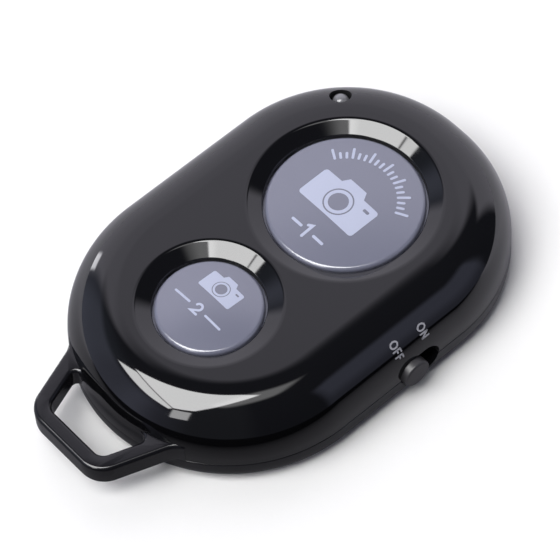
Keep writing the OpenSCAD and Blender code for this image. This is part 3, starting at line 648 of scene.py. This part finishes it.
def build_cap(name, x, r, material):
    """Cap with a stem, a wall with a flange, ribs across and a notch for the key."""
    wall_r, flange_r = r - CAP_WALL, r + CAP_FLANGE_W
    plate_z, flange_top = CAP_TOP - CAP_PLATE_T, ROOF_Z - TOUCH_GAP
    flange_z = flange_top - CAP_FLANGE_T
    under = [(0, TACT_TOP), (CAP_STEM_R, TACT_TOP), (CAP_STEM_R, plate_z), (wall_r, plate_z)]
    flange = [(wall_r, flange_z), (flange_r, flange_z), (flange_r, flange_top), (r, flange_top)]
    cap = lathe(name, under + flange + crown_profile(r), x, 0, CAP_POINTS)
    ribs = []
    for i in range(RIBS):
        reach = wall_r + RIB_BITE
        rib = box("rib", (-reach, -RIB_HALF, flange_z), (reach, RIB_HALF, plate_z + RIB_BITE))
        turned = Matrix.Rotation(math.radians(180 * i / RIBS), 4, "Z")
        rib.data.transform(Matrix.Translation((x * MM, 0, 0)) @ turned)
        ribs.append(rib)
    combine(cap, ribs, "UNION")
    half = KEY_W / 2 + SLIDE_GAP
    low, high = flange_z - CUT, flange_top + CUT / 2
    notch = box("notch", (x - half, flange_r - KEY_L / 2, low), (x + half, flange_r + CAP_FLANGE_W, high))
    combine(cap, [notch], "DIFFERENCE")
    wear(cap, material)
    return sharpen(cap, angle=40)


def build_knob(material):
    """Round knob with the shutter behind it and a socket for the switch's actuator."""
    back = SHUTTER_Y - CUT / 2
    rim = [(KNOB_R - inset, z) for inset, z in round_head(KNOB_EDGE_R, 9, HALF_W + KNOB_PROUD)]
    profile = [(0, back), (KNOB_R, back)] + rim + [(0, HALF_W + KNOB_PROUD)]
    knob = lathe("power_switch_knob_soft", profile, 0, 0, SMALL_POINTS)
    knob.data.transform(Matrix.Rotation(math.radians(90), 4, "X"))
    front = SHUTTER_T - SHUTTER_Y
    corner = (-SHUTTER_HALF_L, -SHUTTER_Y, -SHUTTER_HALF_H)
    combine(knob, [box("shutter", corner, (SHUTTER_HALF_L, front, SHUTTER_HALF_H))], "UNION")
    half = ACTUATOR_HALF + TOUCH_GAP
    socket = box("socket", (-half, -SHUTTER_Y - SOCKET_DEPTH, -half), (half, front + CUT, half))
    combine(knob, [socket], "DIFFERENCE")
    knob.data.transform(Matrix.Translation((KNOB_X * MM, 0, KNOB_Z * MM)))
    wear(knob, material)
    return sharpen(knob, angle=40)


# Prints
PRINT_T, PRINT_BITE = 0.012, 0.02
MITRE = 0.35  # least cosine at a bend of a line, so that no corner grows long
LARGE_ICON = (LARGE_X - 0.3, 0.3, 8.4, 5.1)  # x, y, width, height
SMALL_ICON = (-8.7, 0.5, 4.8, 3.0)
LARGE_DIGIT = (2.8, -0.1, 2.0, 0.34)  # x, y, height, line
SMALL_DIGIT = (-12.4, 0.4, 1.5, 0.27)
LARGE_DASH, SMALL_DASH = (1.0, 2.3), (1.3, 3.5)  # ends of a dash from the digit's middle
SCALE_TICKS, SCALE_STEP = 9, 6.6
SCALE_R0, SCALE_R1, SCALE_SHORT, SCALE_LINE = 5.7, 6.95, 0.6, 0.3
WORD_H, WORD_LINE, WORD_GAP, WORD_SLOPE = 1.12, 0.2, 0.14, 33.8
ON_X, OFF_X = 4.15, 0.42
WORD_SKIN_X = (-4, 8.5)  # ends of the skin that the words are cut from
LETTER_W = {"O": 0.84, "N": 0.68, "F": 0.54}  # width of a letter one high


def moved(shape, move):
    """A shape with each of its points moved."""
    outline, holes = shape
    return [move(q) for q in outline], [[move(q) for q in hole] for hole in holes]


def open_stroke(points, width):
    """Outline of a line of even width with round ends."""
    p = [Vector(q) for q in points]
    steps = [(b - a).normalized() for a, b in zip(p, p[1:])]
    w = width / 2
    left, right = [], []
    for q, before, after in zip(p, steps[:1] + steps, steps + steps[-1:]):
        mid = (before + after).normalized()
        out = Vector((-mid.y, mid.x))
        scale = w / max(MITRE, out.dot(Vector((-before.y, before.x))))
        left.append(q + out * scale)
        right.append(q - out * scale)

    def end(q, d):
        turn = math.degrees(math.atan2(d.y, d.x))
        return [Vector(v) for v in arc_points(q.x, q.y, w, turn + 90, turn - 90, 8)[1:-1]]

    outline = left + end(p[-1], steps[-1]) + right[::-1] + end(p[0], -steps[0])
    return [(v.x, v.y) for v in reversed(outline)], []


def ring_stroke(points, width):
    """Closed line of even width: outline and hole. points run anticlockwise."""
    p = [Vector(q) for q in points]
    outer, inner = [], []
    for i, q in enumerate(p):
        before = (q - p[i - 1]).normalized()
        after = (p[(i + 1) % len(p)] - q).normalized()
        mid = (before + after).normalized()
        out = Vector((mid.y, -mid.x))
        scale = width / 2 / max(MITRE, out.dot(Vector((before.y, -before.x))))
        outer.append(tuple(q + out * scale))
        inner.append(tuple(q - out * scale))
    return outer, [inner]


def round_rect(cx, cy, w, h, r):
    pts = []
    for sx, sy, start in ((1, -1, -90), (1, 1, 0), (-1, 1, 90), (-1, -1, 180)):
        pts += arc_points(cx + sx * (w / 2 - r), cy + sy * (h / 2 - r), r, start, start + 90, 6)
    return pts


def place(shape, x, y):
    """Puts a shape drawn upright on the part, where up is +X and reading runs along -Y."""
    return moved(shape, lambda q: (x + q[1], y - q[0]))


def print_on(name, skin, shapes, z0, z1, material):
    """Thin print: every shape cut out of a thin skin that lies on the part."""
    verts, faces = [], []
    for shape in shapes:
        piece = column(shape, z0, z1)
        copy = link(bpy.data.objects.new("skin", skin.data.copy()))
        combine(piece, [copy], "INTERSECT")
        base = len(verts)
        verts += [tuple(c / MM for c in v.co) for v in piece.data.vertices]
        faces += [tuple(base + i for i in f.vertices) for f in piece.data.polygons]
        bpy.data.objects.remove(piece)
    bpy.data.objects.remove(skin)
    return mesh_object(name, verts, faces, [material], smooth=False)


def cap_skin(x, r):
    """Thin skin on a cap's crown, from part way up its edge."""
    upper, lower = (crown_profile(r, lift)[6:] for lift in (PRINT_T, -PRINT_BITE))
    return lathe("skin", lower[::-1] + upper, x, 0, CAP_POINTS)


def camera_icon(w, h):
    """A plain camera from the front, in shares of its size: body with a hump, window and lens ring."""
    body_h = 0.83 * h
    low, top = -h / 2, body_h - h / 2
    r = 0.08 * h
    outline = arc_points(w / 2 - r, low + r, r, -90, 0, 5) + arc_points(w / 2 - r, top - r, r, 0, 90, 5)
    outline += [(0.21 * w, top), (0.15 * w, h / 2), (-0.15 * w, h / 2), (-0.21 * w, top)]
    outline += arc_points(r - w / 2, top - r, r, 90, 180, 5) + arc_points(r - w / 2, low + r, r, 180, 270, 5)
    y, lens = low + body_h / 2, 0.41 * body_h
    window = round_rect(0.36 * w, top - 0.2 * body_h, 0.1 * w, 0.09 * body_h, 0.02 * w)
    return [(outline, [circle(0, y, lens), window]), (circle(0, y, 0.9 * lens), [circle(0, y, 0.66 * lens)])]


def digit_one(h, line):
    top = (h - line) / 2
    return open_stroke([(-0.22 * h, 0.28 * h), (0, top), (0, -top)], line)


def digit_two(h, line):
    top, r = (h - line) / 2, 0.27 * h
    bow = arc_points(0, top - r, r, 165, -45, 14)
    return open_stroke(bow + [(-0.28 * h, -top), (0.3 * h, -top)], line)


def letter(ch, h, line):
    """Upright capital as line shapes, and its width."""
    w = LETTER_W[ch] * h
    x, top = (w - line) / 2, (h - line) / 2
    if ch == "O":
        return [ring_stroke([(x * u, top * v) for u, v in circle(0, 0, 1, 40)], line)], w
    lines = {
        "N": [((-x, -top), (-x, top)), ((-x, top), (x, -top)), ((x, -top), (x, top))],
        "F": [((x, top), (-x, top)), ((-x, top), (-x, -top)), ((-x, 0.02 * h), (0.6 * x, 0.02 * h))],
    }
    return [open_stroke(ends, line) for ends in lines[ch]], w


def word(text, h, line, gap):
    """Line shapes of a word round its own middle."""
    letters = [letter(ch, h, line) for ch in text]
    x = (gap - sum(w + gap for _, w in letters)) / 2
    out = []
    for shapes, w in letters:
        middle = x + w / 2
        out += [moved(shape, lambda q: (q[0] + middle, q[1])) for shape in shapes]
        x += w + gap
    return out


def cap_marks(icon, digit, make_digit, dash):
    """An icon, and a numeral between two dashes."""
    x, y, w, h = icon
    shapes = [place(shape, x, y) for shape in camera_icon(w, h)]
    x, y, h, line = digit
    near, far = dash
    shapes.append(place(make_digit(h, line), x, y))
    for side in (-1, 1):
        shapes.append(place(open_stroke([(side * near, 0), (side * far, 0)], line), x, y))
    return shapes


def scale_marks():
    """Ticks on an arc of the large button, every third one long."""
    shapes = []
    for k in range(-SCALE_TICKS, SCALE_TICKS + 1):
        a = math.radians(k * SCALE_STEP)
        reach = SCALE_R1 if k % 3 == 0 else SCALE_R1 - SCALE_SHORT
        ends = [(LARGE_X + r * math.cos(a), r * math.sin(a)) for r in (SCALE_R0, reach)]
        shapes.append(open_stroke(ends, SCALE_LINE))
    return shapes


def shoulder_word(text, x):
    """A word that runs down the straight side's shoulder."""
    def move(q):
        a = math.radians(WORD_SLOPE) - q[0] / SHOULDER_R
        return x + q[1], SHOULDER_R - HALF_W - SHOULDER_R * math.cos(a)

    return [moved(shape, move) for shape in word(text, WORD_H, WORD_LINE, WORD_GAP)]


def shoulder_skin():
    """Thin skin on the straight side's shoulder."""
    def section(r):
        turns = [math.radians(a) for a in np.linspace(0, 80, 120)]
        return [(SHOULDER_R - HALF_W - r * math.cos(a), CASE_H - SHOULDER_R + r * math.sin(a)) for a in turns]

    outline = section(SHOULDER_R + PRINT_T) + section(SHOULDER_R - PRINT_BITE)[::-1]
    skin = column((outline, []), *WORD_SKIN_X)
    # the section was drawn as y and z, and the column's height becomes x
    skin.data.transform(Matrix(((0, 0, 1, 0), (1, 0, 0, 0), (0, 1, 0, 0), (0, 0, 0, 1))))
    return skin


def build_prints(material, switch_material):
    large = cap_marks(LARGE_ICON, LARGE_DIGIT, digit_one, LARGE_DASH) + scale_marks()
    small = cap_marks(SMALL_ICON, SMALL_DIGIT, digit_two, SMALL_DASH)
    words = shoulder_word("ON", ON_X) + shoulder_word("OFF", OFF_X)
    low, high = CAP_TOP - 1, CAP_TOP + 1
    return (
        print_on("large_button_print", cap_skin(LARGE_X, LARGE_R), large, low, high, material),
        print_on("small_button_print", cap_skin(SMALL_X, SMALL_R), small, low, high, material),
        print_on("switch_print", shoulder_skin(), words, PARTING_Z, CASE_H + 1, switch_material),
    )


# Materials
GRAIN_LOW, GRAIN_HIGH = 0.3, 0.7  # range of the noise that spans the change in roughness
GRAIN_DEPTH = 0.02  # of its bumps


def add_node(tree, kind, inputs=(), **settings):
    """New shader node. inputs: name or number of an input, with its value or the output that feeds it."""
    node = tree.nodes.new("ShaderNode" + kind)
    for key, value in settings.items():
        setattr(node, key, value)
    for key, value in dict(inputs).items():
        if isinstance(value, bpy.types.NodeSocket):
            tree.links.new(value, node.inputs[key])
        else:
            node.inputs[key].default_value = value
    return node


def vector_calc(tree, operation, inputs):
    output = "Value" if operation == "DOT_PRODUCT" else "Vector"
    return add_node(tree, "VectorMath", inputs, operation=operation).outputs[output]


def add_grain(tree, bsdf, scale, bump, rough_low, rough_high, tint=0.0):
    """Fine procedural grain: bump, roughness and a little colour change."""
    where = add_node(tree, "TexCoord").outputs["Object"]
    grain = add_node(tree, "TexNoise", {"Vector": where, "Scale": scale, "Detail": 3}).outputs["Fac"]
    ends = {"From Min": GRAIN_LOW, "From Max": GRAIN_HIGH, "To Min": rough_low, "To Max": rough_high}
    rough = add_node(tree, "MapRange", {"Value": grain, **ends}).outputs["Result"]
    tree.links.new(rough, bsdf.inputs["Roughness"])
    if bump > 0:
        lumps = add_node(tree, "Bump", {"Height": grain, "Strength": bump, "Distance": GRAIN_DEPTH * MM})
        tree.links.new(lumps.outputs["Normal"], bsdf.inputs["Normal"])
    if tint > 0:
        base = bsdf.inputs["Base Color"].default_value[:3]
        dark, light = ((*(min(1, c * k) for c in base), 1) for k in (1 - tint, 1 + tint))
        mix = add_node(tree, "Mix", {"Factor": grain, "A": dark, "B": light}, data_type="RGBA")
        tree.links.new(mix.outputs["Result"], bsdf.inputs["Base Color"])


def new_material(name, colour, rough, metal=0.0, ior=1.5, coat=0.0, level=1.0, *, grain):
    """Material with a grain, which is given as add_grain's values from the scale on."""
    m = bpy.data.materials.new(name)
    m.use_nodes = True
    bsdf = m.node_tree.nodes["Principled BSDF"]
    bsdf.inputs["Base Color"].default_value = (*colour, 1)
    bsdf.inputs["Roughness"].default_value = rough
    bsdf.inputs["Metallic"].default_value = metal
    bsdf.inputs["IOR"].default_value = ior
    bsdf.inputs["Coat Weight"].default_value = coat
    bsdf.inputs["Specular IOR Level"].default_value = 0.5 if metal else level
    add_grain(m.node_tree, bsdf, *grain)
    return m


def materials():
    made = {}

    def make(name, *values, **more):
        """Keeps a material under this name, which Blender changes where the frame has the same one."""
        made[name] = new_material(name, *values, **more)

    # shells
    make("gloss", (0.003, 0.003, 0.0036), 0.05, grain=(900, 0, 0.035, 0.06))
    make("inside", (0.015, 0.015, 0.016), 0.5, grain=(3000, 0.2, 0.45, 0.55))
    make("satin", (0.006, 0.006, 0.0075), 0.14, level=0.8, grain=(6000, 0.15, 0.11, 0.18, 0.08))
    # caps, knob, prints and light
    make("button", (0.178, 0.184, 0.245), 0.2, ior=1.7, grain=(7000, 0, 0.18, 0.23, 0.03))
    make("knob", (0.032, 0.031, 0.034), 0.4, grain=(7000, 0.2, 0.36, 0.44, 0.06))
    make("print", (0.46, 0.49, 0.63), 0.45, grain=(5000, 0, 0.42, 0.5, 0.03))
    make("print_grey", (0.42, 0.42, 0.46), 0.45, grain=(5000, 0, 0.42, 0.5, 0.03))
    make("lens", (0.20, 0.20, 0.215), 0.16, grain=(2500, 0, 0.1, 0.16, 0.04))
    # board and what it carries
    make("board", (0.015, 0.13, 0.055), 0.35, coat=0.4, grain=(2500, 0.1, 0.3, 0.4, 0.15))
    make("chip", (0.03, 0.03, 0.032), 0.5, grain=(4000, 0.3, 0.45, 0.6, 0.1))
    make("ceramic", (0.45, 0.30, 0.17), 0.5, grain=(4000, 0.2, 0.45, 0.6, 0.12))
    # metals and the cell
    make("steel", (0.62, 0.61, 0.58), 0.3, 1.0, grain=(3000, 0.1, 0.25, 0.38, 0.05))
    make("gold", (0.83, 0.58, 0.22), 0.28, 1.0, grain=(3000, 0.1, 0.22, 0.36, 0.08))
    make("cell", (0.70, 0.70, 0.68), 0.28, 1.0, grain=(2600, 0.1, 0.22, 0.36, 0.05))
    make("gasket", (0.05, 0.05, 0.05), 0.7, grain=(3000, 0.2, 0.65, 0.8, 0.1))
    return made


# Nodes carried over from the CAD, by the material that they wear
WORN_BY = {
    "satin": ("battery_door",),
    "chip": ("large_switch_base", "large_switch_plunger", "small_switch_base", "small_switch_plunger",
             "power_switch_actuator", "power_switch_base", "bluetooth_chip", "memory_chip", "chip_resistors"),
    "steel": ("case_screws", "large_switch_cover", "large_switch_legs", "small_switch_cover",
              "small_switch_legs", "power_switch_case", "power_switch_terminals", "crystal", "light_leads"),
    "board": ("circuit_board",),
    "ceramic": ("chip_capacitors",),
    "gold": ("antenna_trace", "battery_clip_positive", "battery_contact_negative"),
    "lens": ("light_lens",),
    "cell": ("coin_cell_can", "coin_cell_cap"),
    "gasket": ("coin_cell_gasket",),
}

# Light
# Windows on a ceiling one unit above the part: corners (x, y) on that ceiling, brightness, softness
WINDOWS = [
    ([(-0.43, 0.49), (-0.02, -0.02), (0.0, -0.17), (-0.43, -0.25), (-0.82, -0.27), (-1.10, -0.10)],
     7.0, 0.012),
    ([(-0.49, 0.47), (-0.79, 0.87), (-0.90, 0.74), (-1.11, 0.30), (-1.42, -0.06), (-1.14, -0.10)],
     6.5, 0.012),
    ([(-1.20, -0.13), (-2.25, -0.33), (-1.75, -0.60), (-0.97, -0.31)], 3.5, 0.012),
    ([(0.02, -0.05), (0.25, -0.20), (0.05, -0.36), (-0.40, -0.30), (-0.43, -0.20)], 1.25, 0.05),
]
# Parts of the room seen round the part: middle azimuth, half width, its softness,
# low and high elevation, softness of each, colour, brightness
ROOM = [
    (50, 42, 8, 36, 61, 4, 9, (1.00, 0.97, 1.10), 0.60),
    (43, 51, 4, -80, 36, 4, 4, (1.00, 0.97, 1.09), 0.66),
    (91, 3, 1, -2, 11, 2, 2, (1.00, 1.00, 1.04), 4.00),
    (135, 38, 12, -80, 40, 4, 5, (0.90, 0.94, 1.25), 0.24),
    (176, 16, 12, -80, 36, 4, 8, (0.90, 0.92, 1.25), 0.13),
    (116, 18, 8, -80, 52, 4, 8, (0.80, 0.95, 1.20), 0.07),
    (302.5, 18.5, 2.5, -80, 43, 4, 5, (0.88, 0.92, 1.30), 0.11),
    (305, 18, 4, 14, 43, 12, 5, (0.88, 0.93, 1.25), 0.16),
    (214, 24, 8, -80, 75, 4, 8, (0.95, 1.0, 1.05), 0.035),
]
CEILING = (0.038, 0.04, 0.052)
LAMP_FROM, LAMP_STRENGTH, LAMP_ANGLE = (0.15, 0.48, 0.87), 0.45, 50


def calc(tree, operation, *values):
    return add_node(tree, "Math", dict(enumerate(values)), operation=operation).outputs[0]


def rise(tree, value, edge, width):
    """0 below an edge and 1 above it, with a soft step."""
    ends = {"Value": value, "From Min": edge - width, "From Max": edge + width}
    return add_node(tree, "MapRange", ends, interpolation_type="SMOOTHSTEP").outputs["Result"]


def window_mask(tree, direction, corners, blur):
    """Mask with straight sides between the corners."""
    middle = Vector((sum(x for x, _ in corners), sum(y for _, y in corners), len(corners)))
    mask = 1.0
    for corner, following in zip(corners, corners[1:] + corners[:1]):
        side = Vector((*corner, 1)).cross(Vector((*following, 1))).normalized()
        if side.dot(middle) < 0:
            side.negate()
        inward = vector_calc(tree, "DOT_PRODUCT", {0: direction, 1: side})
        mask = calc(tree, "MULTIPLY", mask, rise(tree, inward, 0.0, blur))
    return mask


def room_mask(tree, azimuth, elevation, middle, half, blur, low, high, low_blur, high_blur):
    """Mask between two azimuths and two elevations."""
    off = calc(tree, "WRAP", calc(tree, "SUBTRACT", azimuth, middle), 180, -180)
    across = calc(tree, "SUBTRACT", 1.0, rise(tree, calc(tree, "ABSOLUTE", off), half, blur))
    over = rise(tree, elevation, low, low_blur)
    under = calc(tree, "SUBTRACT", 1.0, rise(tree, elevation, high, high_blur))
    return calc(tree, "MULTIPLY", across, calc(tree, "MULTIPLY", over, under))


def world():
    """Room of windows and walls, which lights the part and which the gloss mirrors."""
    room = bpy.data.worlds.new("room")
    bpy.context.scene.world = room
    room.use_nodes = True
    tree = room.node_tree
    tree.nodes.clear()
    direction = add_node(tree, "TexCoord").outputs["Generated"]
    split = add_node(tree, "SeparateXYZ", {0: direction}).outputs
    azimuth = calc(tree, "DEGREES", calc(tree, "ARCTAN2", split["Y"], split["X"]))
    elevation = calc(tree, "DEGREES", calc(tree, "ARCSINE", split["Z"]))
    glows = []
    for corners, strength, blur in WINDOWS:
        glows.append((window_mask(tree, direction, corners, blur), (strength,) * 3))
    for *limits, tint, strength in ROOM:
        glows.append((room_mask(tree, azimuth, elevation, *limits), tuple(c * strength for c in tint)))
    total = CEILING
    for mask, colour in glows:
        glow = vector_calc(tree, "SCALE", {0: colour, "Scale": mask})
        total = vector_calc(tree, "ADD", {0: glow, 1: total})
    background = add_node(tree, "Background", {"Color": total}).outputs["Background"]
    add_node(tree, "OutputWorld", {"Surface": background})


def lamp():
    """Soft sun from behind, which lays the shadow towards the viewer. The gloss doesn't mirror it."""
    light = bpy.data.lights.new("lamp", "SUN")
    light.energy = LAMP_STRENGTH
    light.angle = math.radians(LAMP_ANGLE)
    obj = link(bpy.data.objects.new("lamp", light))
    obj.rotation_euler = Vector(LAMP_FROM).to_track_quat("Z", "Y").to_euler()
    obj.visible_glossy = False


# Floor
FLOOR_SIZE, FLOOR_Z = 3000, -0.02
FLOOR_WHITE = (0.91, 0.905, 0.895)
# Painted shade on the floor that the part mirrors: its colour runs from black at FLOOR_DARK to FLOOR_MIRRORED
# at FLOOR_LIT
FLOOR_DARK, FLOOR_LIT = -45.0, 22.0  # how far along the part's diagonal the mirrored floor is dark, and lit
FLOOR_MIRRORED = (0.57, 0.56, 0.60)


def floor_material():
    """White where the camera sees it. Where the part mirrors it, it carries painted shade: dark towards the
    viewer, lighter away from the viewer.
    """
    m = bpy.data.materials.new("floor")
    m.use_nodes = True
    tree = m.node_tree
    tree.nodes.clear()
    where = add_node(tree, "TexCoord").outputs["Object"]
    diagonal = (math.sqrt(0.5), math.sqrt(0.5), 0)
    # painted shade on the mirrored floor, along the part's diagonal: black towards the viewer, FLOOR_MIRRORED
    # away from it
    along = vector_calc(tree, "DOT_PRODUCT", {0: where, 1: diagonal})
    ends = {"Value": along, "From Min": FLOOR_DARK * MM, "From Max": FLOOR_LIT * MM}
    share = add_node(tree, "MapRange", ends).outputs["Result"]
    tint = vector_calc(tree, "SCALE", {0: FLOOR_MIRRORED, "Scale": share})
    mirrored = add_node(tree, "BsdfDiffuse", {"Color": tint}).outputs[0]
    seen = add_node(tree, "BsdfDiffuse", {"Color": (*FLOOR_WHITE, 1)}).outputs[0]
    by_camera = add_node(tree, "LightPath").outputs["Is Camera Ray"]
    mix = add_node(tree, "MixShader", {"Fac": by_camera, 1: mirrored, 2: seen}).outputs[0]
    add_node(tree, "OutputMaterial", {"Surface": mix})
    return m


def floor():
    """Wide flat floor just below the part."""
    s = FLOOR_SIZE
    corners = [(-s, -s, FLOOR_Z), (s, -s, FLOOR_Z), (s, s, FLOOR_Z), (-s, s, FLOOR_Z)]
    obj = mesh_object("floor", corners, [(0, 1, 2, 3)], [floor_material()])


# Camera, as the photo's: directions in degrees, and a focal length in pixels of its 560
CAMERA_AZIMUTH, CAMERA_ELEVATION, CAMERA_ROLL = -37.8426, 56.5029, -4.5625
CAMERA_TARGET, CAMERA_DISTANCE = (-1.4888, -0.1698, 5.0), 399.644
PHOTO_W, FOCAL_PX, SENSOR_W = 560, 3698.723, 36


def camera():
    azimuth, elevation, roll = (math.radians(v) for v in (CAMERA_AZIMUTH, CAMERA_ELEVATION, CAMERA_ROLL))
    flat = math.cos(elevation)
    back = Vector((math.sin(azimuth) * flat, -math.cos(azimuth) * flat, math.sin(elevation)))
    level = Vector((math.cos(azimuth), math.sin(azimuth), 0))
    upright = back.cross(level)
    right = level * math.cos(roll) + upright * math.sin(roll)
    up = upright * math.cos(roll) - level * math.sin(roll)
    cam = bpy.data.cameras.new("camera")
    obj = link(bpy.data.objects.new("camera", cam))
    stand = [(middle + away * CAMERA_DISTANCE) * MM for middle, away in zip(CAMERA_TARGET, back)]
    obj.matrix_world = Matrix.Translation(stand) @ Matrix((right, up, back)).transposed().to_4x4()
    cam.sensor_width = SENSOR_W
    cam.lens = SENSOR_W * FOCAL_PX / PHOTO_W
    cam.clip_start = 0.01
    cam.clip_end = 10
    bpy.context.scene.camera = obj


def main(nodes):
    mats = materials()
    top = build_top_shell([mats["gloss"], mats["inside"]])
    bottom = build_bottom_shell(mats["satin"])
    large = build_cap("large_cap_satin", LARGE_X, LARGE_R, mats["button"])
    small = build_cap("small_cap_satin", SMALL_X, SMALL_R, mats["button"])
    knob = build_knob(mats["knob"])
    prints = build_prints(mats["print"], mats["print_grey"])
    for obj, body, node, slot in (
        (top, "case", "top_shell", "shell_gloss"),
        (bottom, "case", "bottom_shell", "shell_satin"),
        (large, "large_button", "large_button_cap", "button"),
        (small, "small_button", "small_button_cap", "button"),
        (knob, "power_switch", "power_switch_knob", "knob"),
    ):
        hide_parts(node)
        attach(obj, body)
    for obj, body in zip(prints, ("large_button", "small_button", "case")):
        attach(obj, body)
    for key, names in WORN_BY.items():
        for name in names:
            wear(nodes[name], mats[key])
    floor()
    world()
    lamp()
    camera()
    scene = bpy.context.scene
    scene.view_settings.view_transform = "Standard"
    scene.view_settings.look = "None"


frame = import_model()
main(frame["nodes"])
